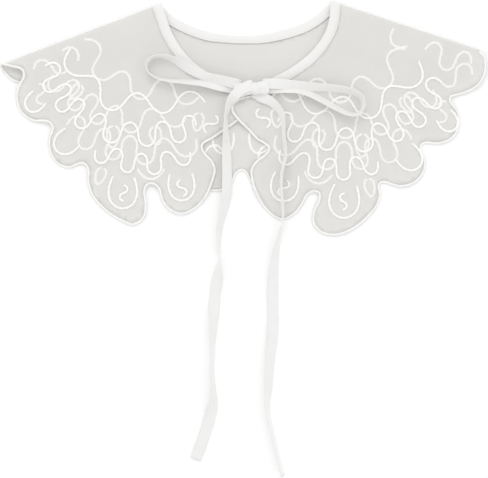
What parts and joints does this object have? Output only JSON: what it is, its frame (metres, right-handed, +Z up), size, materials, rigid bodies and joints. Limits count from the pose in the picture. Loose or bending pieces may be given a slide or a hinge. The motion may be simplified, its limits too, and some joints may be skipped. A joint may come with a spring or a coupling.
{
  "type": "false collar",
  "caption": "Sheer white organza false collar with couched cord, a scalloped hem, a bound neck and a tied bow, laid flat with its front up.",
  "frame": {"origin": "middle of the cloth's box, without the bow's loops and tails, on the surface that the collar lies on", "axes": "+X across the collar to the right as it is seen, +Y towards the neck edge, +Z up out of the front"},
  "size_m": [0.4863, 0.4757, 0.0153],
  "materials": {
    "organza": "sheer",
    "satin_binding": "satin",
    "white_thread": "satin"
  },
  "bodies": {
    "root": {"collar_cloth": "organza", "neck_binding": "satin_binding", "hem_edging": "white_thread", "cord_left_garland": "white_thread", "cord_left_ramble": "white_thread", "cord_left_lower_ramble": "white_thread", "cord_left_first_hook": "white_thread", "cord_left_second_hook": "white_thread", "cord_left_long_hook": "white_thread", "cord_left_long_inner": "white_thread", "cord_left_front_hook": "white_thread", "cord_left_front_inner": "white_thread", "cord_left_centre_bend": "white_thread", "cord_right_garland": "white_thread", "cord_right_ramble": "white_thread", "cord_right_lower_ramble": "white_thread", "cord_right_first_hook": "white_thread", "cord_right_second_hook": "white_thread", "cord_right_long_hook": "white_thread", "cord_right_long_inner": "white_thread", "cord_right_front_hook": "white_thread", "cord_right_front_inner": "white_thread", "cord_right_centre_bend": "white_thread", "tie_knot": "satin_binding", "bow_loop_left": "satin_binding", "bow_loop_right": "satin_binding", "tie_tail_left": "satin_binding", "tie_tail_right": "satin_binding"}
  },
  "joints": []
}
